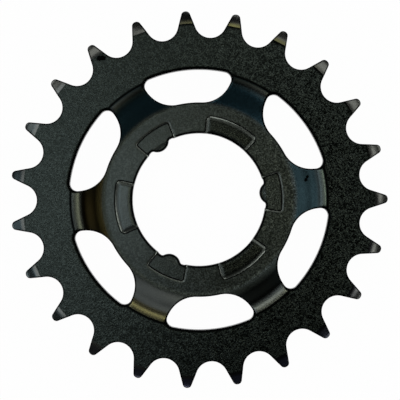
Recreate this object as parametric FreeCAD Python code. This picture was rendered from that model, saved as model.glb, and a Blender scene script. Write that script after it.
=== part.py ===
# Rear sprocket of a bicycle with a geared hub: one pressed and hardened steel plate.
# It has chain teeth round a flat rim, six arms that dish down to a flat hub ring, six openings
# between the arms, and a bore whose three round lugs drive the hub.
# Millimetres. The origin is on the bore axis, in the plane that the three lug plates lie on.
# +Z points out of the dished front, and +Y through one lug and the tooth beyond it.

import FreeCAD, Part
import math
import os

from FreeCAD import Vector

# Chain and teeth
chain_pitch = 12.7
roller_diameter = 7.75
tooth_count = 23
seat_clearance = 0.375        # a roller seat's radius, past the roller's own
flank_angle = 17.8            # degrees, from a flank to its tooth's centre line
tooth_addendum = 3.24         # from the pitch circle to the tooth tips
crown_corner_radius = 0.6
relief_length = 3.4           # how far the thinned sides reach in from the tips
tip_thickness = 0.9

# Plate and dish
plate_thickness = 2.2
dish_depth = 2.5              # how far the hub ring lies behind the rim
dish_edge_angle = 10.0        # degrees, slope of the arms at the creases where they start and end
rim_width = 8.34              # from the openings out to the roots of the teeth
rim_crease_width = 0.85       # the outer crease lies this far inside the openings' outer edge
hub_width = 8.16              # from the bore out to the openings
hub_crease_width = 0.6        # the inner crease lies this far inside the openings' inner edge

# Openings between the arms
arm_count = 6
arm_width = 10.5
opening_outer_corner = 2.0
opening_inner_corner = 8.0
opening_roll_width = 0.9      # the piercing rolls the outer front edge in over this width
opening_roll_depth = 0.3

# Bore, lugs and the half-sheared plates round the bore
bore_radius = 17.7
bore_edge_break = 0.4
lug_count = 3
lug_height = 1.47
lug_nose_radius = 3.08
lug_foot_radius = 0.8
lug_bore_relief = 0.2         # the bore is this much wider beside a lug
lug_plate_half_angle = 13.8
lug_plate_width = 4.5
lug_plate_corner = 0.7
pad_half_angle = 19.0
pad_width = 4.6
pad_corner = 1.1
half_shear = 0.5              # pads stand this far proud of the front, lug plates of the back
plate_edge_break = 0.4

# Places that follow from the sizes
full_turn = 360.0
fullest_corner = 0.95         # a rounded corner takes at most this share of the room it has
front_angle = 90.0            # +Y, where the first tooth, arm and lug are
pitch_radius = chain_pitch / (2 * math.sin(math.pi / tooth_count))
seat_radius = roller_diameter / 2 + seat_clearance
root_radius = pitch_radius - roller_diameter / 2
tip_radius = pitch_radius + tooth_addendum
disc_radius = tip_radius + tooth_addendum
relief_start_radius = tip_radius - relief_length
opening_outer_radius = root_radius - rim_width
opening_inner_radius = bore_radius + hub_width
dish_outer_radius = opening_outer_radius - rim_crease_width
dish_inner_radius = opening_inner_radius - hub_crease_width
hub_back = half_shear
hub_front = hub_back + plate_thickness
rim_back = hub_back + dish_depth
rim_front = rim_back + plate_thickness
pad_front = hub_front + half_shear
below_all = -plate_thickness
above_all = rim_front + plate_thickness
pilot_radius = bore_radius / 2


def polar(radius, angle):
    a = math.radians(angle)
    return Vector(radius * math.cos(a), radius * math.sin(a), 0)


def at_angle(across, along, angle):
    """A point given across and along a radial line that stands at this angle, with clockwise positive."""
    a = math.radians(angle)
    x = along * math.cos(a) + across * math.sin(a)
    y = along * math.sin(a) - across * math.cos(a)
    return Vector(x, y, 0)


def line(start, end):
    return Part.LineSegment(start, end).toShape()


def arc(start, middle, end):
    return Part.Arc(start, middle, end).toShape()


def arc_round(centre, start, end):
    """The shorter arc between two points that lie equally far from the centre."""
    outward = (start + end) / 2 - centre
    middle = centre + outward * (start.distanceToPoint(centre) / outward.Length)
    return arc(start, middle, end)


def prism(edges, low, high):
    face = Part.Face(Part.Wire(edges))
    face.translate(Vector(0, 0, low))
    return face.extrude(Vector(0, 0, high - low))


def radius_of(point):
    return math.hypot(point.x, point.y)


def middle_of(edge):
    return edge.valueAt((edge.FirstParameter + edge.LastParameter) / 2)


def edges_at_height(shape, height, keep):
    """The shape's edges that lie flat at this height and whose middle point passes the test."""
    tolerance = 1e-6
    found = []
    for edge in shape.Edges:
        box = edge.BoundBox
        flat = abs(box.ZMin - height) < tolerance and abs(box.ZMax - height) < tolerance
        if flat and keep(middle_of(edge)):
            found.append(edge)
    return found


def section_point(radius, z):
    return Vector(radius, 0, z)


def dish_front(inner, outer):
    """The front of the arms in section, from the hub ring out to the rim: a hollow arc and a domed one."""
    slope = math.radians(dish_edge_angle)
    middle = (inner + outer) / 2
    chord = middle - inner
    chord_angle = math.atan2(chord.z, chord.x)
    sag = section_point(math.sin(chord_angle), -math.cos(chord_angle))
    sag.multiply(chord.Length / 2 * math.tan((chord_angle - slope) / 2))
    return [arc(inner, (inner + middle) / 2 + sag, middle), arc(middle, (middle + outer) / 2 - sag, outer)]


def pressed_disc():
    """The plate turned round the bore axis, before anything is pierced: hub ring, dish and rim."""
    dish_slope = math.atan2(dish_depth, dish_outer_radius - dish_inner_radius)
    back_shift = plate_thickness * math.tan(dish_slope / 2)
    front_start = section_point(pilot_radius, hub_front)
    front_inner = section_point(dish_inner_radius, hub_front)
    front_outer = section_point(dish_outer_radius, rim_front)
    front_edge = section_point(disc_radius, rim_front)
    back_edge = section_point(disc_radius, rim_back)
    back_outer = section_point(dish_outer_radius + back_shift, rim_back)
    back_inner = section_point(dish_inner_radius + back_shift, hub_back)
    back_start = section_point(pilot_radius, hub_back)
    outline = [line(front_start, front_inner)] + dish_front(front_inner, front_outer)
    corners = [front_outer, front_edge, back_edge, back_outer, back_inner, back_start, front_start]
    outline += [line(start, end) for start, end in zip(corners, corners[1:])]
    section = Part.Face(Part.Wire(outline))
    return section.revolve(Vector(0, 0, 0), Vector(0, 0, 1), full_turn)


def tooth_points():
    """One side of a tooth, across and along its centre line: flank ends, crown start and corner centre."""
    half_pitch = math.pi / tooth_count
    flank = math.radians(flank_angle)
    seat_centre = Vector(math.sin(half_pitch), math.cos(half_pitch), 0) * (root_radius + seat_radius)
    inward = Vector(-math.cos(flank), -math.sin(flank), 0)
    up_flank = Vector(-math.sin(flank), math.cos(flank), 0)

    def up_to(start, radius):
        along = start.dot(up_flank)
        reach = math.sqrt(along ** 2 - start.dot(start) + radius ** 2) - along
        return start + up_flank * reach

    flank_start = seat_centre + inward * seat_radius
    half_land = up_to(flank_start, tip_radius).x
    widest_corner = half_land / math.tan(math.pi / 4 - flank / 2)
    corner = min(crown_corner_radius, fullest_corner * widest_corner)
    corner_centre = up_to(flank_start + inward * corner, tip_radius - corner)
    flank_end = corner_centre - inward * corner
    crown_start = corner_centre * (tip_radius / corner_centre.Length)
    return flank_start, flank_end, crown_start, corner_centre


def tooth_outline():
    """The toothed edge, counter-clockwise: flank, rounded crown, flank and roller seat, for each tooth."""
    flank_start, flank_end, crown_start, corner_centre = tooth_points()
    pitch_angle = full_turn / tooth_count
    edges = []
    for tooth in range(tooth_count):
        angle = front_angle + tooth * pitch_angle

        def on_side(point, side):
            return at_angle(side * point.x, point.y, angle)

        crown_top = polar(tip_radius, angle)
        seat_bottom = polar(root_radius, angle + pitch_angle / 2)
        next_flank = at_angle(flank_start.x, flank_start.y, angle + pitch_angle)
        edges += [
            line(on_side(flank_start, 1), on_side(flank_end, 1)),
            arc_round(on_side(corner_centre, 1), on_side(flank_end, 1), on_side(crown_start, 1)),
            arc(on_side(crown_start, 1), crown_top, on_side(crown_start, -1)),
            arc_round(on_side(corner_centre, -1), on_side(crown_start, -1), on_side(flank_end, -1)),
            line(on_side(flank_end, -1), on_side(flank_start, -1)),
            arc(on_side(flank_start, -1), seat_bottom, next_flank),
        ]
    return edges


def tooth_reliefs():
    """Wedges that thin both sides of every tooth, from a straight crease across it out to its tip."""
    drop = (plate_thickness - tip_thickness) / 2
    inner = section_point(relief_start_radius - relief_length, rim_front + drop)
    outer = section_point(tip_radius + relief_length, rim_front - 2 * drop)
    above = section_point(tip_radius + relief_length, rim_front + drop)
    section = Part.Face(Part.makePolygon([inner, outer, above, inner]))
    section.translate(Vector(0, -chain_pitch / 2, 0))
    front = section.extrude(Vector(0, chain_pitch, 0))
    back = front.mirror(Vector(0, 0, (rim_front + rim_back) / 2), Vector(0, 0, 1))
    wedges = []
    for tooth in range(tooth_count):
        angle = front_angle + tooth * full_turn / tooth_count
        wedges += [wedge.rotated(Vector(0, 0, 0), Vector(0, 0, 1), angle) for wedge in (front, back)]
    return wedges


def opening_corners():
    """Centres of an opening's outer and inner corner, across and along the arm beside them."""
    half_arm = arm_width / 2
    outer_across = half_arm + opening_outer_corner
    outer_along = math.sqrt((opening_outer_radius - opening_outer_corner) ** 2 - outer_across ** 2)
    room = outer_along ** 2 - opening_inner_radius ** 2 + half_arm ** 2
    widest_corner = room / (2 * opening_inner_radius - arm_width)
    inner_corner = min(opening_inner_corner, fullest_corner * widest_corner)
    inner_across = half_arm + inner_corner
    inner_along = math.sqrt((opening_inner_radius + inner_corner) ** 2 - inner_across ** 2)
    return Vector(outer_across, outer_along, 0), Vector(inner_across, inner_along, 0)


def opening_outline(angle):
    """An opening between two arms: two arcs about the bore axis, joined by rounded ends along the arms."""
    half_arm = arm_width / 2
    half_step = full_turn / arm_count / 2
    outer, inner = opening_corners()

    def end_edges(arm_angle, side):
        """The end beside one arm, from the opening's outer arc to the inner one."""
        outer_centre = at_angle(side * outer.x, outer.y, arm_angle)
        inner_centre = at_angle(side * inner.x, inner.y, arm_angle)
        on_outer = outer_centre * (opening_outer_radius / outer_centre.Length)
        on_inner = inner_centre * (opening_inner_radius / inner_centre.Length)
        side_high = at_angle(side * half_arm, outer.y, arm_angle)
        side_low = at_angle(side * half_arm, inner.y, arm_angle)
        edges = [
            arc_round(outer_centre, on_outer, side_high),
            line(side_high, side_low),
            arc_round(inner_centre, side_low, on_inner),
        ]
        return on_outer, edges, on_inner

    left_outer, left_edges, left_inner = end_edges(angle + half_step, 1)
    right_outer, right_edges, right_inner = end_edges(angle - half_step, -1)
    outer_arc = arc(right_outer, polar(opening_outer_radius, angle), left_outer)
    inner_arc = arc(left_inner, polar(opening_inner_radius, angle), right_inner)
    return [outer_arc] + left_edges + [inner_arc] + right_edges[::-1]


def edge_roll(centre, wall_radius, start, sweep):
    """What is rolled in along the rim's front edge, over a wall that is round about this centre."""
    low = section_point(wall_radius, rim_front - opening_roll_depth)
    high = section_point(wall_radius + 2 * opening_roll_width, rim_front + opening_roll_depth)
    above = section_point(wall_radius, rim_front + opening_roll_depth)
    section = Part.Face(Part.makePolygon([low, high, above, low]))
    section.rotate(Vector(0, 0, 0), Vector(0, 0, 1), start)
    section.translate(centre)
    return section.revolve(centre, Vector(0, 0, 1), sweep)


def opening_rolls(angle):
    """The rolled edge of one opening: its outer arc and outer corners, fading out down the arms."""
    half_step = full_turn / arm_count / 2
    outer, inner = opening_corners()
    corner_bearing = math.degrees(math.atan2(outer.x, outer.y))
    arc_start = angle - half_step + corner_bearing
    rolls = [edge_roll(Vector(0, 0, 0), opening_outer_radius, arc_start, 2 * (angle - arc_start))]
    for side in (-1, 1):
        arm_angle = angle + side * half_step
        centre = at_angle(side * outer.x, outer.y, arm_angle)
        start = arm_angle - side * corner_bearing
        sweep = side * (full_turn / 4 + corner_bearing)
        rolls.append(edge_roll(centre, opening_outer_corner, start, sweep))
    return rolls


def plate_sides(angle, half_angle, outer_radius, corner, inner_radius):
    """Ends and outer side of a plate in the hub ring, from one end of its inner side to the other."""
    corner_reach = outer_radius - corner
    corner_angle = math.degrees(math.asin(corner / corner_reach))
    end_reach = math.sqrt(corner_reach ** 2 - corner ** 2)
    ends = []
    for side in (-1, 1):
        end_angle = angle + side * half_angle
        corner_centre = polar(corner_reach, end_angle - side * corner_angle)
        on_outer = polar(outer_radius, end_angle - side * corner_angle)
        on_end = polar(end_reach, end_angle)
        foot = polar(inner_radius, end_angle)
        ends.append((foot, on_end, corner_centre, on_outer))
    (foot, on_end, centre, on_outer), (last_foot, last_end, last_centre, last_outer) = ends
    edges = [
        line(foot, on_end),
        arc_round(centre, on_end, on_outer),
        arc(on_outer, polar(outer_radius, angle), last_outer),
        arc_round(last_centre, last_outer, last_end),
        line(last_end, last_foot),
    ]
    return foot, edges, last_foot


def pad_sides(angle, inner_radius):
    return plate_sides(angle, pad_half_angle, bore_radius + pad_width, pad_corner, inner_radius)


def lug_plate_sides(angle, inner_radius):
    outer_radius = bore_radius + lug_plate_width
    return plate_sides(angle, lug_plate_half_angle, outer_radius, lug_plate_corner, inner_radius)


def notch(sides, angle, low, high):
    """The room that a plate takes in the hub ring, open towards the bore."""
    first, edges, last = sides(angle, pilot_radius)
    return prism(edges + [line(last, first)], low, high)


def pad(angle):
    """A plate between two lugs, sheared forwards, with its front edges broken."""
    first, edges, last = pad_sides(angle, bore_radius)
    bore_side = arc(last, polar(bore_radius, angle), first)
    solid = prism(edges + [bore_side], pad_front - plate_thickness, pad_front)
    return solid.makeChamfer(plate_edge_break, edges_at_height(solid, pad_front, lambda point: True))


def lug_side(angle, first, last):
    """The bore's edge across a lug plate: wider bore, foot, round nose, foot and wider bore again."""
    relieved_radius = bore_radius + lug_bore_relief
    nose_along = bore_radius - lug_height + lug_nose_radius
    foot_reach = relieved_radius - lug_foot_radius
    nose_reach = lug_nose_radius + lug_foot_radius
    foot_along = (foot_reach ** 2 - nose_reach ** 2 + nose_along ** 2) / (2 * nose_along)
    foot_across = math.sqrt(foot_reach ** 2 - foot_along ** 2)
    nose_centre = polar(nose_along, angle)
    nose_tip = polar(bore_radius - lug_height, angle)
    halves = []
    for side, end in ((-1, last), (1, first)):
        foot_centre = at_angle(side * foot_across, foot_along, angle)
        on_bore = foot_centre * (relieved_radius / foot_reach)
        on_nose = foot_centre + (nose_centre - foot_centre) * (lug_foot_radius / nose_reach)
        bore_arc = arc_round(Vector(0, 0, 0), end, on_bore)
        halves.append((on_nose, [bore_arc, arc_round(foot_centre, on_bore, on_nose)]))
    (start, start_edges), (end, end_edges) = halves
    return start_edges + [arc(start, nose_tip, end)] + end_edges[::-1]


def lug_plate(angle):
    """A plate with a driving lug, sheared backwards, with the front edge of its bore side broken."""
    first, edges, last = lug_plate_sides(angle, bore_radius + lug_bore_relief)
    solid = prism(edges + lug_side(angle, first, last), 0, plate_thickness)
    near_bore = bore_radius + lug_plate_width / 2
    bore_edges = edges_at_height(solid, plate_thickness, lambda point: radius_of(point) < near_bore)
    return solid.makeChamfer(bore_edge_break, bore_edges)


def bore_cutter():
    """The bore, flared at its front end by the broken edge."""
    flare_radius = bore_radius + bore_edge_break
    corners = [
        section_point(0, below_all),
        section_point(bore_radius, below_all),
        section_point(bore_radius, hub_front - bore_edge_break),
        section_point(flare_radius, hub_front),
        section_point(flare_radius, above_all),
        section_point(0, above_all),
        section_point(0, below_all),
    ]
    return Part.Face(Part.makePolygon(corners)).revolve(Vector(0, 0, 0), Vector(0, 0, 1), full_turn)


def sprocket():
    arm_step = full_turn / arm_count
    lug_step = full_turn / lug_count
    lug_angles = [front_angle + k * lug_step for k in range(lug_count)]
    pad_angles = [angle + lug_step / 2 for angle in lug_angles]
    opening_angles = [front_angle + (k + 0.5) * arm_step for k in range(arm_count)]

    body = pressed_disc().common(prism(tooth_outline(), below_all, above_all)).cut(tooth_reliefs())
    for angle in opening_angles:
        body = body.cut([prism(opening_outline(angle), below_all, above_all)] + opening_rolls(angle))
    for angle in lug_angles:
        body = body.cut(notch(lug_plate_sides, angle, below_all, above_all))
    for angle in pad_angles:
        body = body.cut(notch(pad_sides, angle, below_all, above_all))
    body = body.cut(bore_cutter())
    plates = [pad(angle) for angle in pad_angles] + [lug_plate(angle) for angle in lug_angles]
    return body.fuse(plates).removeSplitter()


os.makedirs("parts", exist_ok=True)
part = sprocket()
print("solids", len(part.Solids), "valid", part.isValid(), "volume", round(part.Volume, 2))
print("box", part.optimalBoundingBox())
part.Solids[0].exportStep("parts/sprocket.step")
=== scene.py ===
# %% [markdown]
# A pressed bicycle sprocket. The lesson makes the sprocket the way a press shop does: it draws a flat
# blank, pierces it, thickens it to plate, and presses the heights in. The CAD part gives the frame, so
# the new mesh has to stay on it, and the script measures how well it does.

# %% Load the frame
import math

import bmesh
import bpy
from mathutils import Matrix, Vector
from mathutils.bvhtree import BVHTree
from mathutils.kdtree import KDTree


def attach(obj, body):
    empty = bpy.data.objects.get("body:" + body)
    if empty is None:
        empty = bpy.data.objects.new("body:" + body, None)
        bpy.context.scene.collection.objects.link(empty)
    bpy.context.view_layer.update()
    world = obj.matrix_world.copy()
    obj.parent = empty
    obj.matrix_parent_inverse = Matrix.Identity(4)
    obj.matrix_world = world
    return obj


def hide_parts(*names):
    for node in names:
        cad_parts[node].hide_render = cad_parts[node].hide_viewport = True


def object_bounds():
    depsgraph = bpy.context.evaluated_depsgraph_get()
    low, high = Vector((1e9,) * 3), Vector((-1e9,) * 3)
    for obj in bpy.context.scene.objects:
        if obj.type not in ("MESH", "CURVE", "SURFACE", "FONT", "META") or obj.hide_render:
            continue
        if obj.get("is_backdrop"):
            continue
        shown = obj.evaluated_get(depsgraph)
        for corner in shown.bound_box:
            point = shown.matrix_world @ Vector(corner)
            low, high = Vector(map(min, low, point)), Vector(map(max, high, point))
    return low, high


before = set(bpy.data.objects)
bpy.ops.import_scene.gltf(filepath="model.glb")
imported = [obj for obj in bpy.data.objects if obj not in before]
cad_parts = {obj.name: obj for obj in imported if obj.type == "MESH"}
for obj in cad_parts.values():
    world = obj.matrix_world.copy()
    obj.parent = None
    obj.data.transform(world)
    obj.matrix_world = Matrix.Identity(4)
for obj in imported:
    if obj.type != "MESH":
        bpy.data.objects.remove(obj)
cad_low, cad_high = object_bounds()
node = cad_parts["sprocket"]
mm = 0.001
print("CAD box in mm:", [round(v / mm, 2) for v in cad_low], [round(v / mm, 2) for v in cad_high])

# %% [markdown]
# The sizes come first, in millimetres, because an outline is easier to think about in them. A chain
# sets almost everything about the teeth: its pitch and the number of teeth give the pitch circle, and
# its roller gives the round seats between the teeth.

# %% Sizes of the teeth
tooth_count = 23
chain_pitch = 12.7
roller_radius = 3.875
seat_clearance = 0.375
tip_rise = 3.24
crown_corner = 1.1
flank_angle = math.radians(17.8)
tooth_step = 2 * math.pi / tooth_count
pitch_radius = chain_pitch / (2 * math.sin(tooth_step / 2))
seat_radius = roller_radius + seat_clearance
root_radius = pitch_radius - roller_radius
tip_radius = pitch_radius + tip_rise
print("pitch circle", round(pitch_radius, 2), "roots", round(root_radius, 2), "tips", round(tip_radius, 2))

# %% [markdown]
# Everything is drawn in one mesh. Its layers are added while it is empty, so that every point, edge and
# face has them from the start. Edges remember their outline and faces their zone. The points carry what
# the finishes will want to know: how near a cut, a shear line, a rolled edge, a plate edge that gets a
# painted highlight, or a crease they lie.

# %% A mesh to draw in
blank = bmesh.new()
outline = blank.edges.layers.int.new("outline")
zone = blank.faces.layers.int.new("zone")
border = blank.faces.layers.int.new("border")
edge_nearness = blank.verts.layers.float.new("edge_nearness")
shear_nearness = blank.verts.layers.float.new("shear_nearness")
roll_nearness = blank.verts.layers.float.new("roll_nearness")
highlight_nearness = blank.verts.layers.float.new("highlight_nearness")
crease_nearness = blank.verts.layers.float.new("crease_nearness")
print("layers on the points:", blank.verts.layers.float.keys())

# %% [markdown]
# An outline can be drawn like with a pen. One vertex spun about a centre leaves an arc behind it, and
# one vertex extruded and moved leaves a line. Both beat a list of points, because only the corners of
# the shape have to be known.

# %% A pen for outlines
up = Vector((0, 0, 1))
centre = Vector()


def at(radius, degrees):
    a = math.radians(degrees)
    return Vector((radius * math.cos(a), radius * math.sin(a), 0))


def beside(across, along, degrees):
    """A point across and along a radial line at this angle, with clockwise positive."""
    return at(along, degrees) + at(across, degrees - 90)


def arc_to(vert, middle, towards, steps):
    """Spin a point about the middle, the shorter way, until it lies in the other point's direction."""
    first = vert.co - middle
    last = towards - middle
    angle = math.atan2(first.cross(last).z, first.dot(last))
    made = bmesh.ops.spin(blank, geom=[vert], cent=middle, axis=up, dvec=centre, angle=angle, steps=steps)
    return [v for v in made["geom_last"] if isinstance(v, bmesh.types.BMVert)][0]


def line_to(vert, end, steps):
    step = (end - vert.co) / steps
    for _ in range(steps):
        vert = bmesh.ops.extrude_vert_indiv(blank, verts=[vert])["verts"][0]
        bmesh.ops.translate(blank, verts=[vert], vec=step)
    return vert


print("a point straight up the page:", [round(v, 3) for v in at(1, 90)])

# %% [markdown]
# Every outline of the sprocket is symmetric and repeats. So only half of each is drawn: a mirror makes
# the other half, and a spin that duplicates repeats it round the axis. At the end the new edges get the
# number of their outline. Where points are gathered from edges, a dict drops the repeats and keeps the
# order, so that every run gives the same mesh.

# %% Mirror and repeat an outline
mirror_weld = 1e-4
weld = 1e-3


def unnumbered_edges():
    return [edge for edge in blank.edges if edge[outline] == 0]


def with_points(edges):
    return edges + list(dict.fromkeys(v for edge in edges for v in edge.verts))


def finish_outline(number, copies, degrees=0):
    """Mirror the half outline that was just drawn, repeat it round the axis, turn it, and number it."""
    bmesh.ops.mirror(blank, geom=with_points(unnumbered_edges()), matrix=Matrix(), merge_dist=mirror_weld,
                     axis="X")
    turn = 2 * math.pi / copies
    bmesh.ops.spin(blank, geom=with_points(unnumbered_edges()), cent=centre, axis=up, dvec=centre,
                   angle=turn * (copies - 1), steps=copies - 1, use_duplicate=True)
    points = [v for v in with_points(unnumbered_edges()) if isinstance(v, bmesh.types.BMVert)]
    turned = Matrix.Rotation(math.radians(degrees), 3, "Z")
    bmesh.ops.rotate(blank, verts=points, cent=centre, matrix=turned)
    bmesh.ops.remove_doubles(blank, verts=points, dist=weld)
    edges = unnumbered_edges()
    for edge in edges:
        edge[outline] = number
    return len(edges)


print("points closer than", weld, "mm become one")

# %% [markdown]
# A tooth starts in the bottom of a roller seat, climbs a straight flank, and turns over a round corner
# onto the crown, which is an arc about the axis. The corners take up almost the whole crown, so the tip
# looks like one full round.

# %% Draw the teeth
teeth = 1
half_tooth = math.degrees(tooth_step / 2)
inward = at(1, 180 + math.degrees(flank_angle))
up_flank = at(1, 90 + math.degrees(flank_angle))
seat_centre = at(root_radius + seat_radius, 90 - half_tooth)
flank_start = seat_centre + inward * seat_radius
corner_start = flank_start + inward * crown_corner
along = corner_start.dot(up_flank)
reach = tip_radius - crown_corner
climb = math.sqrt(along ** 2 - corner_start.length_squared + reach ** 2) - along
corner_centre = corner_start + up_flank * climb

pen = blank.verts.new(at(root_radius, 90 - half_tooth))
pen = arc_to(pen, seat_centre, flank_start, steps=9)
pen = line_to(pen, corner_centre - inward * crown_corner, steps=5)
pen = arc_to(pen, corner_centre, corner_centre * 2, steps=5)
pen = arc_to(pen, centre, at(tip_radius, 90), steps=2)
print("tooth edges:", finish_outline(teeth, tooth_count))

# %% [markdown]
# The openings lie between the arms. Each is two arcs about the axis, with a tight corner at the rim and
# a wide one at the hub, so that the arms swell into the hub ring. Six blocks could cut them out of a
# plate with booleans, but holes in the flat outline leave a cleaner mesh.

# %% Draw the openings
openings = 2
arm_count = 6
arm_width = 10.5
rim_width = 8.34
hub_width = 8.16
bore_radius = 17.7
outer_corner = 2.0
inner_corner = 8.0
outer_radius = root_radius - rim_width
inner_radius = bore_radius + hub_width
half_arm = arm_width / 2
arm_beside = 90 - 180 / arm_count
outer_along = math.sqrt((outer_radius - outer_corner) ** 2 - (half_arm + outer_corner) ** 2)
inner_along = math.sqrt((inner_radius + inner_corner) ** 2 - (half_arm + inner_corner) ** 2)
outer_centre = beside(-half_arm - outer_corner, outer_along, arm_beside)
inner_centre = beside(-half_arm - inner_corner, inner_along, arm_beside)

pen = blank.verts.new(at(outer_radius, 90))
pen = arc_to(pen, centre, outer_centre, steps=14)
pen = arc_to(pen, outer_centre, beside(-half_arm, outer_along, arm_beside), steps=9)
pen = line_to(pen, beside(-half_arm, inner_along, arm_beside), steps=4)
pen = arc_to(pen, inner_centre, centre, steps=16)
pen = arc_to(pen, centre, at(inner_radius, 90), steps=8)
print("opening edges:", finish_outline(openings, arm_count, degrees=180 / arm_count))

# %% [markdown]
# Round the bore, three pads and three lug plates are sheared half way out of the ring, in turn. They
# could be loose pieces laid on the ring, but on the real plate they are the same steel, so they stay in
# the same mesh. Each has two straight ends, an outer arc and round corners between them, so one
# function draws both kinds.

# %% Draw the pads and the lug plates
pad_sides = 3
pad_bore = 4
lug_plate_sides = 5
plate_copies = 3
pad_turn = 180 / plate_copies
pad_width = 4.6
pad_corner = 1.1
pad_half_angle = 19.0
lug_plate_width = 4.5
lug_plate_corner = 0.7
lug_half_angle = 13.8


def half_plate(half_angle, width, corner):
    """The straight end, corner and outer arc of a plate in the hub ring."""
    corner_reach = bore_radius + width - corner
    corner_turn = math.degrees(math.asin(corner / corner_reach))
    end = 90 - half_angle
    pen = blank.verts.new(at(bore_radius, end))
    pen = line_to(pen, at(math.sqrt(corner_reach ** 2 - corner ** 2), end), steps=6)
    pen = arc_to(pen, at(corner_reach, end + corner_turn), at(2 * corner_reach, end + corner_turn), steps=7)
    arc_to(pen, centre, at(corner_reach, 90), steps=12)


half_plate(pad_half_angle, pad_width, pad_corner)
finish_outline(pad_sides, plate_copies, degrees=pad_turn)
arc_to(blank.verts.new(at(bore_radius, 90 - pad_half_angle)), centre, at(bore_radius, 90), steps=12)
finish_outline(pad_bore, plate_copies, degrees=pad_turn)
half_plate(lug_half_angle, lug_plate_width, lug_plate_corner)
print("lug plate edges:", finish_outline(lug_plate_sides, plate_copies))

# %% [markdown]
# A lug plate's bore side carries the round nose that drives the hub. Hollow feet lead from the bore
# into the nose. A foot's centre has a known distance from the axis and from the nose's centre, so it is
# where two circles cross.

# %% Draw the lugs and the bore
lug_bore = 6
ring_bore = 7
lug_rise = 1.47
nose_radius = 3.08
foot_radius = 0.8
bore_relief = 0.2
relief_turn = 2
wide_bore = bore_radius + bore_relief
foot_reach = wide_bore - foot_radius
nose_along = bore_radius - lug_rise + nose_radius
nose_reach = nose_radius + foot_radius
foot_along = (foot_reach ** 2 - nose_reach ** 2 + nose_along ** 2) / (2 * nose_along)
foot_centre = Vector((math.sqrt(foot_reach ** 2 - foot_along ** 2), foot_along, 0))
nose_centre = at(nose_along, 90)

pen = blank.verts.new(at(bore_radius, 90 - lug_half_angle))
pen = line_to(pen, at(wide_bore, 90 + relief_turn - lug_half_angle), steps=1)
pen = arc_to(pen, centre, foot_centre, steps=3)
pen = arc_to(pen, foot_centre, nose_centre, steps=5)
pen = arc_to(pen, nose_centre, centre, steps=8)
finish_outline(lug_bore, plate_copies)
pen = blank.verts.new(at(bore_radius, 90 - lug_half_angle))
arc_to(pen, centre, at(bore_radius, 90 - pad_turn + pad_half_angle), steps=16)
finish_outline(ring_bore, plate_copies)
bmesh.ops.remove_doubles(blank, verts=blank.verts, dist=weld)
print("outline edges in all:", len(blank.edges))

# %% [markdown]
# Now the outlines can be filled. The fill finds holes by itself when it gets all the edges of a region.
# The body, the pads and the lug plates are filled one after the other, because they will end up at
# different heights.

# %% Fill the blank
body = 1
pads = 2
lug_plates = 3


def fill(number, outlines):
    edges = [edge for edge in blank.edges if edge[outline] in outlines]
    made = bmesh.ops.triangle_fill(blank, use_beauty=True, edges=edges, normal=up)
    faces = [f for f in made["geom"] if isinstance(f, bmesh.types.BMFace)]
    for face in faces:
        face[zone] = number
    return faces


regions = {
    body: fill(body, (teeth, openings, pad_sides, lug_plate_sides, ring_bore)),
    pads: fill(pads, (pad_sides, pad_bore)),
    lug_plates: fill(lug_plates, (lug_plate_sides, lug_bore)),
}
bmesh.ops.recalc_face_normals(blank, faces=blank.faces)
print("blank area in mm2:", round(sum(f.calc_area() for f in blank.faces), 1))

# %% [markdown]
# The heights follow from where a point lies. To know how close a point is to an outline, the outlines
# are sampled into search trees before the blank gets thick.

# %% Measure distances to the outlines
spacing = 0.05


def search_tree(outlines):
    points = []
    for edge in blank.edges:
        if edge[outline] in outlines:
            first, last = (v.co for v in edge.verts)
            pieces = math.ceil(edge.calc_length() / spacing)
            points += [first.lerp(last, i / pieces) for i in range(pieces + 1)]
    tree = KDTree(len(points))
    for index, point in enumerate(points):
        tree.insert(point, index)
    tree.balance()
    return tree


to_teeth = search_tree((teeth,))
to_openings = search_tree((openings,))
to_bore = search_tree((pad_bore, lug_bore, ring_bore))
to_pad = search_tree((pad_sides, pad_bore))
to_pad_sides = search_tree((pad_sides,))
to_lug_plate = search_tree((lug_plate_sides,))
to_cut = search_tree((teeth, openings, pad_bore, lug_bore, ring_bore))


def distance(tree, point):
    return tree.find(Vector((point.x, point.y, 0)))[2]


print("from the axis to the bore in mm:", round(distance(to_bore, centre), 2))

# %% [markdown]
# Punched edges are never quite sharp. Four insets lay rows of quads along every outline, and the rows
# will carry the rounding later. A bevel after pressing would do it too, but it trips over the small
# steps between the plates.

# %% Lay rows along the edges
row_widths = (0.08, 0.14, 0.2, 0.16)
for number, faces in regions.items():
    for width in row_widths:
        made = bmesh.ops.inset_region(blank, faces=faces, thickness=width, use_even_offset=True,
                                      use_boundary=True)
        for face in made["faces"]:
            face[border] = 1
            face[zone] = number
print("faces in the rows:", sum(face[border] for face in blank.faces))

# %% [markdown]
# A long thin triangle can't bend, so the arms, the teeth and the plates round the bore are split until
# their edges are short, and smoothed in the plane so that the triangles come out even. The flat rim and
# hub ring keep large triangles.

# %% Split what has to bend
longest_on_teeth = 0.45
longest_on_arms = 0.7
longest_on_plates = 0.5
longest_on_flats = 4.0
teeth_from = root_radius + 1.7
arms_from = inner_radius - 1.5
arms_to = outer_radius + 1.8
split_rounds = 5
smooth_rounds = 4


def longest(point):
    """How long an edge may stay here: short where the plate bends, long where it stays flat."""
    if point.length > teeth_from:
        return longest_on_teeth
    if arms_from < point.length < arms_to:
        return longest_on_arms
    if point.length < bore_radius + pad_width:
        return longest_on_plates
    return longest_on_flats


def inner_faces():
    return [f for f in blank.faces if f[border] == 0]


def inside(faces, parts):
    """The edges or vertices that have only these faces round them."""
    all_parts = dict.fromkeys(part for face in faces for part in getattr(face, parts))
    faces = set(faces)
    return [part for part in all_parts if faces.issuperset(part.link_faces)]


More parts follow.
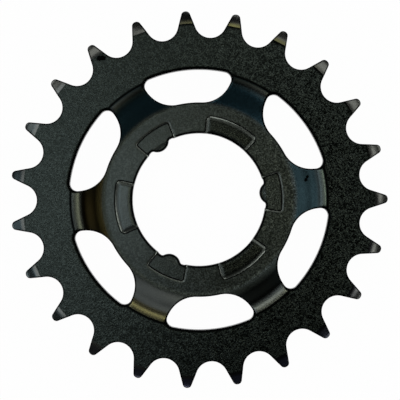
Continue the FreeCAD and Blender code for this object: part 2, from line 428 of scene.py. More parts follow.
for _ in range(split_rounds):
    edges = inside(inner_faces(), "edges")
    long_edges = [e for e in edges if e.calc_length() > longest((e.verts[0].co + e.verts[1].co) / 2)]
    bmesh.ops.subdivide_edges(blank, edges=long_edges, cuts=1)
    bmesh.ops.triangulate(blank, faces=inner_faces())
    faces = inner_faces()
    bmesh.ops.beautify_fill(blank, faces=faces, edges=inside(faces, "edges"))
    points = inside(inner_faces(), "verts")
    for _ in range(smooth_rounds):
        bmesh.ops.smooth_vert(blank, verts=points, factor=0.5, use_axis_x=True, use_axis_y=True)
print("faces in the flat blank:", len(blank.faces))

# %% [markdown]
# The tip of every tooth is thinned from a straight crease. A crease only stays crisp where edges run
# along it, so each tooth is cut across by a plane. Points that lie close to the plane already are moved
# onto it, because a cut beside them would leave slivers.

# %% Cut the creases of the teeth
relief_length = 3.4
relief_start = tip_radius - relief_length
cut_reach = 5
snap = 0.06


def tooth_turn(point):
    """The angle of the middle of the tooth that a point belongs to."""
    turn = math.atan2(point.y, point.x) - math.pi / 2
    return math.pi / 2 + tooth_step * round(turn / tooth_step)


def past_crease(point):
    """How far a point lies outside the crease of its tooth."""
    turn = tooth_turn(point)
    return point.x * math.cos(turn) + point.y * math.sin(turn) - relief_start


for number in range(tooth_count):
    degrees = 90 + math.degrees(tooth_step) * number
    crease = at(relief_start, degrees)
    faces = [f for f in blank.faces if (f.calc_center_median() - crease).length < cut_reach]
    parts = dict.fromkeys(part for f in faces for part in (f, *f.edges, *f.verts))
    bmesh.ops.bisect_plane(blank, geom=list(parts), dist=snap, plane_co=crease, plane_no=at(1, degrees),
                           use_snap_center=True)
print("faces with creases:", len(blank.faces))

# %% [markdown]
# The dish lowers the hub ring behind the rim. Along an arm its front runs in an S: it leaves the rim at
# a gentle slope, is steepest half way, and ends gently too. Two parabolas that meet half way make that
# S. The mean of five heights close together softens both creases.

# %% Shape of the dish
plate_thickness = 2.2
dish_depth = 2.5
dish_inner = inner_radius - 0.6
dish_outer = outer_radius - 0.85
dish_width = dish_outer - dish_inner
hub_slope = math.tan(math.radians(14))
rim_slope = math.tan(math.radians(3.5))
steepest = 2 * dish_depth / dish_width - (hub_slope + rim_slope) / 2
back_shift = plate_thickness * math.tan(math.atan(dish_depth / dish_width) / 2)
crease_softness = 0.2


def front_dish(radius):
    share = min(1, max(0, (radius - dish_inner) / dish_width))
    if share < 0.5:
        return dish_width * (hub_slope * share + (steepest - hub_slope) * share ** 2)
    share = 1 - share
    return dish_depth - dish_width * (rim_slope * share + (steepest - rim_slope) * share ** 2)


def back_dish(radius):
    return dish_depth * min(1, max(0, (radius - dish_inner - back_shift) / dish_width))


def softened(curve, radius):
    return sum(curve(radius + step * crease_softness) for step in range(-2, 3)) / 5


print("arm slope at its steepest, degrees:", round(math.degrees(math.atan(steepest)), 1))

# %% [markdown]
# Three small forms are laid over the dish. The sides of a tooth fall away beyond its crease, a little
# faster towards the tip. Piercing rolls the front edges of the openings in, most along the rim. And
# every other edge is broken by its own width and depth.

# %% Reliefs and edges
relief_slope = 0.05
relief_curve = 0.042
roll_on_arms = 0.45
roll_on_rim = 0.9
roll_change = 1.5


def relief(point):
    """How far a tooth's side is thinned here."""
    past = max(0, past_crease(point))
    return relief_slope * past + relief_curve * past ** 2


def roll_width(point):
    """How wide an opening's front edge is rolled in here."""
    on_rim = min(1, max(0, (point.to_2d().length - dish_outer + roll_change) / roll_change))
    return roll_on_arms + (roll_on_rim - roll_on_arms) * on_rim


def rounding(tree, point, width, depth):
    """How much lower the surface lies beside an outline: deepest on it, and none beyond the width."""
    share = 1 - min(1, distance(tree, point) / width)
    return depth * share ** 2


print("a tooth's side falls at its tip by mm:", round(relief(at(tip_radius, 90)), 3))

# %% [markdown]
# Each side of the body, the pads and the lug plates has its own height rule. A lattice could bend the
# plate too, but rules keep the sizes of the CAD part. The front of a lug also falls a little towards
# the end of its nose.

# %% Height rules
half_shear = 0.5
hub_back = half_shear
hub_front = hub_back + plate_thickness
roll_depth_share = 0.36
cut_edge = (0.22, 0.1)
bore_edge = (0.4, 0.3)
pad_edge = (1.3, 0.32)
pad_foot = (0.3, 0.12)
lug_plate_rim = (0.55, 0.14)
nose_start = bore_radius + 0.15
nose_fall = 0.7
nose_drop = 0.25


def body_front(point):
    width = roll_width(point)
    height = hub_front + softened(front_dish, point.to_2d().length) - relief(point)
    height -= rounding(to_openings, point, width, roll_depth_share * width)
    height -= rounding(to_teeth, point, *cut_edge)
    height -= rounding(to_bore, point, *bore_edge)
    height -= rounding(to_pad_sides, point, *pad_foot)
    return height - rounding(to_lug_plate, point, *lug_plate_rim)


def body_back(point):
    height = hub_back + softened(back_dish, point.to_2d().length) + relief(point)
    return height + rounding(to_cut, point, *cut_edge)


def pad_front(point):
    return hub_front + half_shear - rounding(to_pad, point, *pad_edge)


def pad_back(point):
    return hub_back + half_shear


def lug_front(point):
    nose = min(1, max(0, (nose_start - point.to_2d().length) / nose_fall))
    height = hub_front - half_shear - nose_drop * nose * nose * (3 - 2 * nose)
    return height - rounding(to_bore, point, *bore_edge)


def lug_back(point):
    rise = rounding(to_cut, point, *cut_edge) + rounding(to_lug_plate, point, *cut_edge)
    return hub_back - half_shear + min(cut_edge[1], rise)


print("hub ring from", hub_back, "to", hub_front, "mm")

# %% [markdown]
# An extrusion of the whole blank gives the plate its thickness. It starts as thin as the thinnest
# overlap, between a pad's back and a lug plate's front. Then every zone is pushed outwards, in two
# steps of one half-shear, until it has its own height. Pushing only outwards keeps the mesh closed,
# with no walls left inside.

# %% Thicken the blank


def points_of(faces):
    return list(dict.fromkeys(v for f in faces for v in f.verts))


def of_zone(faces, *zones):
    return [f for f in faces if f[zone] in zones]


def pushed(faces, rise, keep=False):
    """Extrude faces as one region, drop the old ones unless they are kept, and move the new ones."""
    made = bmesh.ops.extrude_face_region(blank, geom=faces)
    if not keep:
        bmesh.ops.delete(blank, geom=faces, context="FACES")
    new = [f for f in made["geom"] if isinstance(f, bmesh.types.BMFace)]
    bmesh.ops.translate(blank, verts=points_of(new), vec=up * rise)
    return new


bmesh.ops.translate(blank, verts=blank.verts, vec=up * (hub_back + half_shear))
back = list(blank.faces)
front = pushed(back, plate_thickness - 2 * half_shear, keep=True)
lug_front_faces = of_zone(front, lug_plates)
pad_back_faces = of_zone(back, pads)
raised = pushed(of_zone(front, body, pads), half_shear)
body_front_faces = of_zone(raised, body)
pad_front_faces = pushed(of_zone(raised, pads), half_shear)
sunk = pushed(of_zone(back, body, lug_plates), -half_shear)
body_back_faces = of_zone(sunk, body)
lug_back_faces = pushed(of_zone(sunk, lug_plates), -half_shear)
print("faces in the thick blank:", len(blank.faces))

# %% [markdown]
# Pressing is now one pass over the points, each by the rule of its side. The points that are left, on
# the walls of the teeth and the openings, are spread between the front and the back.

# %% Press the heights
wall_share = 0.25
pressed = set()
for faces, height in (
    (body_front_faces, body_front),
    (body_back_faces, body_back),
    (pad_front_faces, pad_front),
    (pad_back_faces, pad_back),
    (lug_front_faces, lug_front),
    (lug_back_faces, lug_back),
):
    for point in points_of(faces):
        point.co.z = height(point.co)
        pressed.add(point)
for point in blank.verts:
    if point not in pressed and point.co.to_2d().length > dish_inner:
        low = body_back(point.co)
        high = body_front(point.co)
        upper = point.co.z > hub_back + plate_thickness / 2
        point.co.z = low + (high - low) * (1 - wall_share if upper else wall_share)
print("points pressed:", len(pressed), "of", len(blank.verts))

# %% [markdown]
# The finishes will have painted shade in the shear lines, on the rolled edges and in some creases, a
# painted highlight along the edges of the plates, and will be smoother near the cuts. A shader can't
# measure such distances, so they are stored on the points, as 1 on a line and 0 from some way off.

# %% Store what the finishes need
edge_reach = 0.6
shear_reach = 0.45
# How far the painted highlight reaches from the edges of the pads and the lug plates.
pad_highlight_width = 1.0
lug_plate_highlight_width = 0.5
bore_roll = 0.7
tooth_roll = 0.35
crease_width = 1.0


def nearness(tree, point, width):
    return 1 - min(1, distance(tree, point) / width)


for faces, tree in ((body_front_faces, to_pad_sides), (lug_front_faces, to_lug_plate)):
    for point in points_of(faces):
        point[shear_nearness] = nearness(tree, point.co, shear_reach)
for faces, tree, width in (
    (pad_front_faces, to_pad_sides, pad_highlight_width),
    (body_front_faces, to_lug_plate, lug_plate_highlight_width),
):
    for point in points_of(faces):
        point[highlight_nearness] = nearness(tree, point.co, width)
for point in blank.verts:
    point[edge_nearness] = nearness(to_cut, point.co, edge_reach)
    by_opening = nearness(to_openings, point.co, roll_width(point.co))
    by_bore = nearness(to_bore, point.co, bore_roll)
    by_tooth = nearness(to_teeth, point.co, tooth_roll) if point in pressed else 0
    point[roll_nearness] = max(by_opening, by_bore, by_tooth)
    if point.co.to_2d().length > root_radius:
        point[crease_nearness] = max(0, 1 - max(0, -past_crease(point.co)) / crease_width)
print("points beside a shear line:", sum(point[shear_nearness] > 0 for point in blank.verts))

# %% [markdown]
# The thinned tips, the pads and the back have other finishes than the rest. A mesh can carry several
# materials, and each face names its own by the number of a slot, which is right here because these
# finishes end at real edges.

# %% Choose the finish of each face
thinned_slot = 1
punched_slot = 2
back_slot = 3
for face in body_back_faces + pad_back_faces + lug_back_faces:
    face.material_index = back_slot
for face in body_front_faces + body_back_faces:
    if relief(face.calc_center_median()) > 0:
        face.material_index = thinned_slot
for face in pad_front_faces:
    face.material_index = punched_slot
print("faces with the plain finish of the back:", sum(f.material_index == back_slot for f in blank.faces))

# %% [markdown]
# Shading is smooth over the rounded edges, and stays sharp at the walls and along the creases of the
# teeth. That is settled in the mesh itself, so that every program that opens it later shows the same
# edges.

# %% Shade smooth and sharp
sharp_angle = math.radians(38)
bmesh.ops.recalc_face_normals(blank, faces=blank.faces)
for face in blank.faces:
    face.smooth = True
for edge in blank.edges:
    on_crease = all(abs(past_crease(v.co)) < weld for v in edge.verts)
    edge.smooth = not on_crease and edge.calc_face_angle() < sharp_angle
closed = all(edge.is_manifold for edge in blank.edges)
print("closed:", closed, "volume in mm3:", round(blank.calc_volume(), 1))

# %% [markdown]
# The mesh goes into the frame in metres and stands for the CAD node. A tree of the CAD surface shows
# how far the new points lie from it.

# %% Put the sprocket in the frame
bmesh.ops.scale(blank, vec=(mm, mm, mm), verts=blank.verts)
mesh = bpy.data.meshes.new("pressed_sprocket")
blank.to_mesh(mesh)
blank.free()
piece = bpy.data.objects.new("pressed_sprocket", mesh)
bpy.context.collection.objects.link(piece)
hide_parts("sprocket")
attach(piece, "root")
cad_points = [v.co for v in node.data.vertices]
cad_surface = BVHTree.FromPolygons(cad_points, [p.vertices for p in node.data.polygons])
gaps = [cad_surface.find_nearest(v.co)[3] / mm for v in mesh.vertices]
print("distance from the CAD in mm: mean", round(sum(gaps) / len(gaps), 3), "most", round(max(gaps), 3))

# %% [markdown]
# The finishes are built from shader nodes. Two helpers keep that readable: one adds a node and gives
# each of its inputs a value or a link, and one starts a node group. A group is right for an effect that
# is used again and again, because it is built once and placed with other values each time.

# %% Helpers for shader nodes
number_socket = "NodeSocketFloat"
vector_socket = "NodeSocketVector"


def add(tree, kind, inputs, **settings):
    """Add a node, set its properties, and give its inputs their values or links."""
    made = tree.nodes.new("ShaderNode" + kind)
    for name, setting in settings.items():
        setattr(made, name, setting)
    for name, given in inputs.items():
        if isinstance(given, bpy.types.NodeSocket):
            tree.links.new(given, made.inputs[name])
        else:
            made.inputs[name].default_value = given
    return made


def new_group(name, inputs, outputs):
    """An empty shader node group with these sockets, its inputs and its output node."""
    group = bpy.data.node_groups.new(name, "ShaderNodeTree")
    for label, kind in inputs.items():
        group.interface.new_socket(label, in_out="INPUT", socket_type=kind)
    for label, kind in outputs.items():
        group.interface.new_socket(label, in_out="OUTPUT", socket_type=kind)
    return group, group.nodes.new("NodeGroupInput").outputs, group.nodes.new("NodeGroupOutput")


print("sockets are of kind", number_socket, "or", vector_socket)

# %% [markdown]
# Some nodes are needed so often that a function for each saves much reading: a calculation, a mix of
# two colours, a value between two others, and a mask that rises. Colours are written as a screen shows
# them, because they are easier to judge so, and a function turns them into linear light.

# %% Nodes that are used most


def object_place(tree):
    return add(tree, "TexCoord", {}).outputs["Object"]


def calculate(tree, operation, *numbers):
    return add(tree, "Math", dict(enumerate(numbers)), operation=operation).outputs["Value"]


def mix(tree, share, first, second):
    return add(tree, "Mix", {"Factor": share, "A": first, "B": second}, data_type="RGBA").outputs["Result"]


def between(tree, share, first, second):
    """A value that goes from the first to the second as the share goes from 0 to 1."""
    return add(tree, "MapRange", {"Value": share, "To Min": first, "To Max": second}).outputs["Result"]


def rising(tree, level, low, high, kind="LINEAR"):
    """A mask that goes from 0 to 1 as the level goes from low to high."""
    return add(tree, "MapRange", {"Value": level, "From Min": low, "From Max": high},
               interpolation_type=kind).outputs["Result"]


def linear(red, green, blue):
    """A colour as seen on a screen, 0 to 255, in the linear values that a shader takes."""
    def channel(level):
        level /= 255
        return level / 12.92 if level <= 0.04045 else ((level + 0.055) / 1.055) ** 2.4
    return channel(red), channel(green), channel(blue), 1


print("a mid grey of 128 is", round(linear(128, 128, 128)[0], 3), "in linear light")

# %% [markdown]
# The plate looks as if it was blasted before it was blackened, and its flats have a fine grain. Noise
# of two sizes, read in object coordinates, gives the bumps and the flecks. Object coordinates stay with
# the piece when it is moved, and need no unwrapping.

# %% Grain
coarse_to_fine = 0.3
coarse_in_bumps = 0.6
coarse_in_flecks = 0.2
fleck_from = 0.52
fleck_to = 0.8
grain, given, result = new_group("grain", {"Size": number_socket},
                                 {"Height": number_socket, "Fleck": number_socket})
place = object_place(grain)
fine_scale = calculate(grain, "DIVIDE", 1, given["Size"])
coarse_scale = calculate(grain, "MULTIPLY", fine_scale, coarse_to_fine)
fine_noise = add(grain, "TexNoise", {"Vector": place, "Scale": fine_scale, "Detail": 2, "Roughness": 0.6})
coarse_noise = add(grain, "TexNoise", {"Vector": place, "Scale": coarse_scale, "Detail": 1})
fine = fine_noise.outputs["Fac"]
coarse = coarse_noise.outputs["Fac"]
grain.links.new(calculate(grain, "MULTIPLY_ADD", coarse, coarse_in_bumps, fine), result.inputs["Height"])
cloudy = calculate(grain, "MULTIPLY_ADD", coarse, coarse_in_flecks, fine)
grain.links.new(rising(grain, cloudy, fleck_from, fleck_to), result.inputs["Fleck"])
print("grain group nodes:", len(grain.nodes))

# %% [markdown]
# The rim, the arms and the hub ring have different finishes, and they meet on circles. A mesh of
# triangles has no edges along those circles, so a material for each would end in a saw-tooth line. A
# mask by the distance from the axis gives a clean one, and its softness lets one finish fade into the
# next.

# %% Ring mask
ring_inputs = {"Inner": number_socket, "Outer": number_socket, "Softness": number_socket}
ring, given, result = new_group("ring", ring_inputs, {"Mask": number_socket})
place = object_place(ring)
flat = add(ring, "VectorMath", {0: place, 1: (1, 1, 0)}, operation="MULTIPLY").outputs["Vector"]
radius = add(ring, "VectorMath", {0: flat}, operation="LENGTH").outputs["Value"]
past_inner = calculate(ring, "SUBTRACT", radius, given["Inner"])
before_outer = calculate(ring, "SUBTRACT", given["Outer"], radius)
inside_by = calculate(ring, "MINIMUM", past_inner, before_outer)
depth = calculate(ring, "DIVIDE", inside_by, given["Softness"])
ring.links.new(rising(ring, depth, -1, 1, "SMOOTHSTEP"), result.inputs["Mask"])
print("ring group nodes:", len(ring.nodes))

# %% [markdown]
# The finish changes from one side of the sprocket to the other. Where the press burnished the arms, the
# black shows the colours of tempered steel: blue on three arms and brown on one. One arm is painted
# lighter grey, as a painted reflection, and one is painted black, as painted shade. Towards some sides
# the tips, the pads and the ends of the arms are painted lighter or darker too, as painted light and
# shade. They could be painted on an image, but a mask needs no unwrapping. A dot product with a
# direction tells how far a point lies towards a side.

# %% Side mask
side, given, result = new_group("side", {"Towards": vector_socket, "Spread": number_socket},
                                {"Mask": number_socket})
direction = add(side, "VectorMath", {0: object_place(side)}, operation="NORMALIZE").outputs["Vector"]
towards = add(side, "VectorMath", {0: direction, 1: given["Towards"]}, operation="DOT_PRODUCT")
share = rising(side, towards.outputs["Value"], given["Spread"], 1, "SMOOTHSTEP")
side.links.new(share, result.inputs["Mask"])
print("side group nodes:", len(side.nodes))

# %% [markdown]
# The sprocket has two small black marks, a nick on an arm and a stain beside a tooth. Each is made of
# spots about a place, and noise that changes a spot's width makes its edge ragged.

# %% Marks
ragged_size = 0.6 * mm
least_width = 0.4
most_width = 1.6
solid_to = 0.7
mark, given, result = new_group("mark", {"Place": vector_socket, "Width": number_socket},
                                {"Mask": number_socket})
place = object_place(mark)
away = add(mark, "VectorMath", {0: place, 1: given["Place"]}, operation="DISTANCE").outputs["Value"]
ragged = add(mark, "TexNoise", {"Vector": place, "Scale": 1 / ragged_size, "Detail": 1}).outputs["Fac"]
reach = calculate(mark, "MULTIPLY", given["Width"], between(mark, ragged, least_width, most_width))
outward = calculate(mark, "DIVIDE", away, reach)
spot = add(mark, "MapRange", {"Value": outward, "From Min": solid_to, "To Min": 1, "To Max": 0})
mark.links.new(spot.outputs["Result"], result.inputs["Mask"])
print("mark group nodes:", len(mark.nodes))

# %% [markdown]
# A finish is a dark metal whose colour and roughness change with the flecks. It is written as its dark
# and its light colour, its roughness, and its share of the grain's bumps. On one side of the sprocket
# the flecks are fainter. A ring about the axis can have another finish, and in it some sides can have
# other colours, which are temper colours, painted light and painted shade.

# %% Finishes in rings
photo_turn = 35.45
fleck_shine = 0.04
smooth_side = 165
smooth_spread = -0.7
smooth_share = 0.6
smooth_level = 0.58


def on_side(tree, degrees, spread):
    """A mask from 1 towards this photo angle to 0 where the cosine of the angle between is the spread."""
    towards = at(1, degrees - photo_turn)
    return add(tree, "Group", {"Towards": towards, "Spread": spread}, node_tree=side).outputs["Mask"]


def evened(tree, flecks):
    """The flecks, fainter towards the smooth side."""
    smooth = between(tree, on_side(tree, smooth_side, smooth_spread), 0, smooth_share)
    return between(tree, smooth, flecks, smooth_level)


def spread_flecks(tree, flecks, finish):
    """The colour, roughness and bumps of one finish."""
    dark, light, roughness, grain_share = finish
    rough = between(tree, flecks, roughness + fleck_shine, roughness - fleck_shine)
    return mix(tree, flecks, dark, light), rough, grain_share


def ringed(tree, flecks, finish, rings):
    """The colour, roughness and bumps of a finish with other finishes in rings."""
    tint, rough, bumps = spread_flecks(tree, flecks, finish)
    for inner, outer, softness, other, side_colours in rings:
        mask = add(tree, "Group", {"Inner": inner * mm, "Outer": outer * mm, "Softness": softness * mm},
                   node_tree=ring).outputs["Mask"]
        other_tint, other_rough, other_bumps = spread_flecks(tree, flecks, other)
        for shade, degrees, spread in side_colours:
            other_tint = mix(tree, on_side(tree, degrees, spread), other_tint, shade)
        tint = mix(tree, mask, tint, other_tint)
        rough = between(tree, mask, rough, other_rough)
        bumps = between(tree, mask, bumps, other_bumps)
    return tint, rough, bumps


print("the photo is turned by", photo_turn, "degrees")

# %% [markdown]
# The nearness that was stored on the points now comes in. Soot lies in the marks, and painted shade
# darkens the shear lines, the rolled edges and some creases. Painting every line by hand would be slow,
# and masks from stored distances follow the edges exactly.

# %% Soot and painted shade
# A black for the soot of the marks and for painted shade.
soot_and_shade = linear(10, 12, 11)
shear_full = 0.6
roll_full = 0.4
crease_full = 0.9


def attribute(tree, name):
    return add(tree, "Attribute", {}, attribute_name=name).outputs["Fac"]


def near(tree, name, full):
    """A smooth mask from an attribute of the mesh that reaches 1 at this level of it."""
    return rising(tree, attribute(tree, name), 0, full, "SMOOTHSTEP")


def sooted_and_shaded(tree, tint, marks, painted_crease_shade):
    for spot, width in marks:
        mask = add(tree, "Group", {"Place": spot * mm, "Width": width * mm}, node_tree=mark).outputs["Mask"]
        tint = mix(tree, mask, tint, soot_and_shade)
    # Painted shade in the shear lines, on the rolled edges and, below, in some creases.
    tint = mix(tree, near(tree, "shear_nearness", shear_full), tint, soot_and_shade)
    tint = mix(tree, near(tree, "roll_nearness", roll_full), tint, soot_and_shade)
    for degrees, spread in painted_crease_shade:
        crease = near(tree, "crease_nearness", crease_full)
        tint = mix(tree, calculate(tree, "MULTIPLY", crease, on_side(tree, degrees, spread)), tint, soot_and_shade)
    return tint


print("soot in linear light:", [round(level, 4) for level in soot_and_shade])

# %% [markdown]
# One function builds every black finish, so that all of them share the grain, the soot, the painted
# shade and the painted highlights on the edges of the plates. The steel is a metal in the shader, so
# what it mirrors takes on its dark colour. The bumps fade towards the cut edges, where the grain is worn
# away.

# %% Black finishes
grain_size = 0.36 * mm
grain_depth = 0.08 * mm
# A painted highlight along the edges of the pads and the lug plates.
edge_highlight_colour = linear(116, 122, 115)
highlight_roughness = 0.25
highlight_full = 0.8
bumps_fade_from = 0.2


def black_finish(name, finish, rings=(), marks=(), painted_crease_shade=()):
    """A material with one finish all over, other finishes in rings about the axis, soot, painted shade and
    painted edge highlights.
    """
    material = bpy.data.materials.new(name)
    material.use_nodes = True
    tree = material.node_tree
    surface = tree.nodes["Principled BSDF"].inputs
    surface["Metallic"].default_value = 1
    grains = add(tree, "Group", {"Size": grain_size}, node_tree=grain).outputs
    tint, rough, bumps = ringed(tree, evened(tree, grains["Fleck"]), finish, rings)
    tint = sooted_and_shaded(tree, tint, marks, painted_crease_shade)
    highlight_mask = near(tree, "highlight_nearness", highlight_full)
    tree.links.new(mix(tree, highlight_mask, tint, edge_highlight_colour), surface["Base Color"])
    tree.links.new(between(tree, highlight_mask, rough, highlight_roughness), surface["Roughness"])
    fade = add(tree, "MapRange", {"Value": attribute(tree, "edge_nearness"), "From Min": bumps_fade_from,
                                  "To Min": bumps, "To Max": 0}).outputs["Result"]
    bump = add(tree, "Bump", {"Strength": fade, "Distance": grain_depth, "Height": grains["Height"]})
    tree.links.new(bump.outputs["Normal"], surface["Normal"])
    mesh.materials.append(material)
    print(name, "nodes:", len(tree.nodes))


print("grain in mm:", round(grain_size / mm, 2))

# %% [markdown]
# Most of the sprocket has one material. Its rim is grained. Each arm is burnished. Its end towards the
# rim and a narrow lip are painted lighter, as painted highlights, and so is its foot beside the hub on
# two arms. Beyond the lip a black band is painted as the shade of the crease, and the hub ring is rubbed
# lighter than the rim. A side colour is a colour, the angle in the photo that it lies towards, and how
# far it spreads.

# %% Finishes, temper colours and painted light of the front
grained = (linear(8, 10, 8), linear(96, 107, 101), 0.27, 0.9)
burnished = (linear(58, 78, 81), linear(62, 82, 85), 0.19, 0.02)
# The ends and lips of the arms are painted lighter, as painted highlights, and the crease beyond is painted
# black, as painted shade.
arm_end_highlight = (linear(106, 112, 108), linear(112, 118, 113), 0.19, 0.02)
lip_highlight = (linear(136, 142, 138), linear(140, 146, 142), 0.19, 0.02)
crease_shade = (soot_and_shade, soot_and_shade, 0.3, 0.1)
rubbed_hub = (linear(48, 53, 48), linear(106, 115, 111), 0.3, 0.3)
# Blue and brown temper colours, a lighter grey arm as a painted reflection, and a black arm as painted
# shade.
arm_tempers_and_light = (
    (linear(64, 98, 108), 96, 0.3),
    (linear(92, 97, 95), 256, 0.5),
    (linear(18, 20, 18), 306, 0.8),
    (linear(36, 31, 15), 186, 0.75),
)
# The feet of two arms are painted lighter, as painted highlights.
foot_tempers_and_light = arm_tempers_and_light + (
    (linear(74, 81, 74), 306, 0.8),
    (linear(136, 125, 76), 186, 0.75),
)
# The ends and the lips are painted lighter or darker towards some sides, as painted light and shade.
end_light_and_shade = (
    (linear(52, 72, 75), 96, 0.3),
    (linear(46, 55, 55), 6, 0.8),
    (linear(118, 115, 88), 246, 0.8),
)
lip_light_and_shade = (
    (linear(18, 24, 25), 96, 0.3),
    (linear(108, 122, 122), 6, 0.8),
    (linear(92, 98, 94), 186, 0.8),
    (linear(144, 140, 102), 246, 0.8),
)
print("temper colours on the arms:", len(foot_tempers_and_light + end_light_and_shade + lip_light_and_shade))

# %% [markdown]
# The rings are listed from the arms outwards and then the hub, and a later ring covers an earlier one.
# Each has its inner and its outer radius, the softness of its borders, its finish and its side colours,
# which are temper colours, painted light and painted shade. The marks are written as places on the
# front, with the width of each spot.

# %% Rings and marks of the front
foot_end = 26.9
end_start = 31.2
lip_start = 32.1
crease_end = dish_outer + 0.7
hub_end = dish_inner + 0.8
arm_edge_blend = 0.12
crease_blend = 0.25
arm_blend = 0.5
foot_blend = 0.9
front_rings = (
    (dish_inner, dish_outer, arm_edge_blend, burnished, arm_tempers_and_light),
    (dish_inner, foot_end, foot_blend, burnished, foot_tempers_and_light),
    (end_start, dish_outer, arm_blend, arm_end_highlight, end_light_and_shade),
    (lip_start, dish_outer, crease_blend, lip_highlight, lip_light_and_shade),
    (dish_outer, crease_end, crease_blend, crease_shade, ()),
    (0, hub_end, arm_blend, rubbed_hub, ()),
)
nick = ((at(28.75, -24.9) + up * 3.9, 0.55), (at(29.25, -23.5) + up * 4.1, 0.5))
stain = ((at(45.5, 89.7) + up * 5.2, 0.9), (at(45.1, 88.6) + up * 5.2, 0.75))
# Painted shade along the creases of the teeth towards one side.
painted_crease_shade = ((60, 0.1),)
black_finish("pressed_black", grained, front_rings, nick + stain, painted_crease_shade)

# %% [markdown]
# The thinned tips, the punched pads and the back have a material each. The tips are ground smooth. Round
# the sprocket they are painted with light and shade: teal on one side, darker blue-grey at the bottom
# and darker grey at the top, and their feet olive at the top, as a warm painted reflection, and dark on
# the lower right, as painted shade. One pad is painted lighter, as painted light. The back isn't seen
# in the photo, so it has the plain grain without the side colours.

# %% Finishes of the tips, the pads and the back
thinned = (linear(122, 124, 118), linear(130, 132, 126), 0.16, 0.04)
punched = (linear(26, 29, 25), linear(84, 91, 84), 0.25, 0.3)
# Painted light and shade on the tips and their feet towards some sides.
tip_light_and_shade = (
    (linear(112, 128, 130), 190, 0.6),
    (linear(86, 90, 112), 280, 0.5),
    (linear(84, 86, 84), 91, 0.92),
)
tip_foot_light_and_shade = (
    (linear(126, 126, 88), 75, 0.85),
    (linear(48, 50, 54), 310, 0.3),
)
# The pad on one side is painted lighter, as painted light.
pad_painted_light = ((linear(92, 100, 97), 185, 0.5),)
tip_foot = 47.4
tip_rings = (
    (0, 2 * tip_radius, arm_blend, thinned, tip_light_and_shade),
    (0, tip_foot, arm_blend, thinned, tip_foot_light_and_shade),
)
pad_rings = ((0, inner_radius, arm_blend, punched, pad_painted_light),)
black_finish("thinned_tooth", thinned, tip_rings, stain)
black_finish("punched_black", punched, pad_rings)
black_finish("plain_back", grained)

# %% [markdown]
# The photo looks straight down on the front. The sprocket is turned in it, so the camera turns the
# other way. Its distance follows from how large the near rim and the far hub look: a long lens a few
# hand widths away.

# %% Camera
camera_height = 298.1
shift_right = 0.26
shift_down = 0.1
camera_data = bpy.data.cameras.new("camera")
camera_data.lens = 100
camera_data.sensor_width = 36
camera = bpy.data.objects.new("camera", camera_data)
bpy.context.collection.objects.link(camera)
camera.rotation_euler = (0, 0, -math.radians(photo_turn))
image_right = at(1, -photo_turn)
image_up = at(1, 90 - photo_turn)
camera.location = (image_right * shift_right - image_up * shift_down + up * camera_height) * mm
bpy.context.scene.camera = camera
print("camera height in mm:", camera_height)

# %% [markdown]
# The sprocket lies on a white floor. A floor that is only lit would have to be lit far more than the
# sprocket to come out white, so most of its white is its own glow. The glow is for the camera and for
# mirror and glass rays alone, and gives no light to matt surfaces. The rest is an ordinary white
# surface, which keeps a faint shadow.

# %% Floor
floor_reach = 2
floor_white = (0.9, 0.9, 0.9, 1)
glow_share = 0.98
floor_shape = bmesh.new()
bmesh.ops.create_grid(floor_shape, x_segments=1, y_segments=1, size=floor_reach)
floor_mesh = bpy.data.meshes.new("floor")
floor_shape.to_mesh(floor_mesh)
floor_shape.free()
floor = bpy.data.objects.new("floor", floor_mesh)
bpy.context.collection.objects.link(floor)
floor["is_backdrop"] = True
material = bpy.data.materials.new("white_floor")
material.use_nodes = True
tree = material.node_tree
surface = tree.nodes["Principled BSDF"]
surface.inputs["Base Color"].default_value = floor_white
surface.inputs["Roughness"].default_value = 1
path = add(tree, "LightPath", {}).outputs
seen = calculate(tree, "MAXIMUM", path["Is Camera Ray"], path["Is Glossy Ray"])
seen = calculate(tree, "MAXIMUM", seen, path["Is Transmission Ray"])
glow = add(tree, "Emission", {"Strength": seen}).outputs["Emission"]
both = add(tree, "MixShader", {"Fac": glow_share, 1: surface.outputs["BSDF"], 2: glow})
tree.links.new(both.outputs["Shader"], tree.nodes["Material Output"].inputs["Surface"])
floor_mesh.materials.append(material)
print("floor nodes:", len(tree.nodes))

# %% [markdown]
# A black gloss shows its surroundings more than its colour, so the softboxes stand where the photo's
# highlights ask for them, close in as in a light tent. With a radiance of about 1, a softbox mirrored
# in the finish looks as bright as the finish's own colour.

# %% World and a softbox
scene = bpy.context.scene
scene.view_settings.view_transform = "Standard"
scene.world = bpy.data.worlds.new("studio")
scene.world.use_nodes = True
background = scene.world.node_tree.nodes["Background"]
background.inputs["Color"].default_value = (1, 1, 1, 1)
background.inputs["Strength"].default_value = 0.03
lamp_distance = 0.25
white = (1, 1, 1)
cream = (1, 0.99, 0.88)
warm = (1, 0.97, 0.72)
cool = (0.94, 1, 1.08)


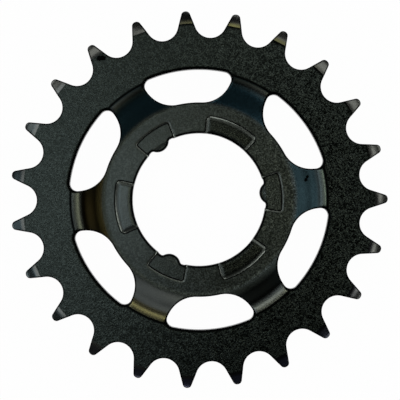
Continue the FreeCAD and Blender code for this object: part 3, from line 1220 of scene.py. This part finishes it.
def softbox(name, azimuth, tilt, width, radiance, shade=white):
    """A round softbox that is this many degrees wide, seen from the sprocket, and this far off the axis."""
    lamp = bpy.data.lights.new(name, "AREA")
    lamp.shape = "DISK"
    lamp.size = 2 * lamp_distance * math.tan(math.radians(width) / 2)
    lamp.energy = radiance * math.pi * math.pi * lamp.size ** 2 / 4
    lamp.color = shade
    holder = bpy.data.objects.new(name, lamp)
    outward = at(math.sin(math.radians(tilt)), azimuth - photo_turn)
    holder.location = (outward + up * math.cos(math.radians(tilt))) * lamp_distance
    holder.rotation_euler = (-holder.location).to_track_quat("-Z", "Y").to_euler()
    holder.visible_camera = False
    bpy.context.collection.objects.link(holder)


print("softboxes stand at", lamp_distance, "m")

# %% [markdown]
# The softboxes are named for where they stand in the photo. The numbers are the angle in the photo, the
# tilt away from the camera's axis, the width in degrees and the radiance. Those near the axis are
# mirrored in the flat rim and hub, and those further out in the sloping arms and tips.

# %% Place the softboxes
softbox("above", 106, 5.5, 10, 0.82, cream)
softbox("right_near", 4, 8, 8, 1.6, warm)
softbox("left", 168, 15, 14, 1.15, cool)
softbox("left_low", 216, 16, 10, 1.25, cool)
softbox("left_middle", 182, 29, 11, 0.7, cool)
softbox("left_high_far", 150, 29, 13, 0.9, cool)
softbox("left_low_far", 210, 29, 12, 0.85, cool)
softbox("left_far", 150, 42, 14, 0.5)
softbox("left_end", 184, 43, 17, 0.22, cool)
softbox("top_left", 106, 29, 9, 0.6)
softbox("top_left_far", 124, 38, 15, 0.7)
softbox("top", 84, 26, 9, 0.45, warm)
softbox("top_right", 66, 28, 18, 0.5)
softbox("right_high_far", 40, 39, 18, 0.75)
softbox("right_far", 8, 37, 12, 1.15)
softbox("right_low_far", 338, 37, 12, 1.1)
print("softboxes:", len(bpy.data.lights))

# %% [markdown]
# Wide lamps low on all sides bring the rest of the light, so that colours look as they are written.
# They stand evenly round the sprocket, and a loop places them.

# %% Side lamps
side_lamps = 6
side_start = 20
side_tilt = 70
side_width = 35
side_radiance = 2.3
for number in range(side_lamps):
    azimuth = 360 / side_lamps * number + side_start
    softbox("side_%d" % number, azimuth, side_tilt, side_width, side_radiance)
print("lamps in all:", len(bpy.data.lights))

# %% [markdown]
# The last cell prints the size of the CAD part and of the finished piece side by side.

# %% Finish
new_low, new_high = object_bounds()
sizes = {"cad": [list(cad_low), list(cad_high)], "now": [list(new_low), list(new_high)]}
for name, box in sizes.items():
    print(name, "box in mm:", [[round(v / mm, 2) for v in corner] for corner in box])
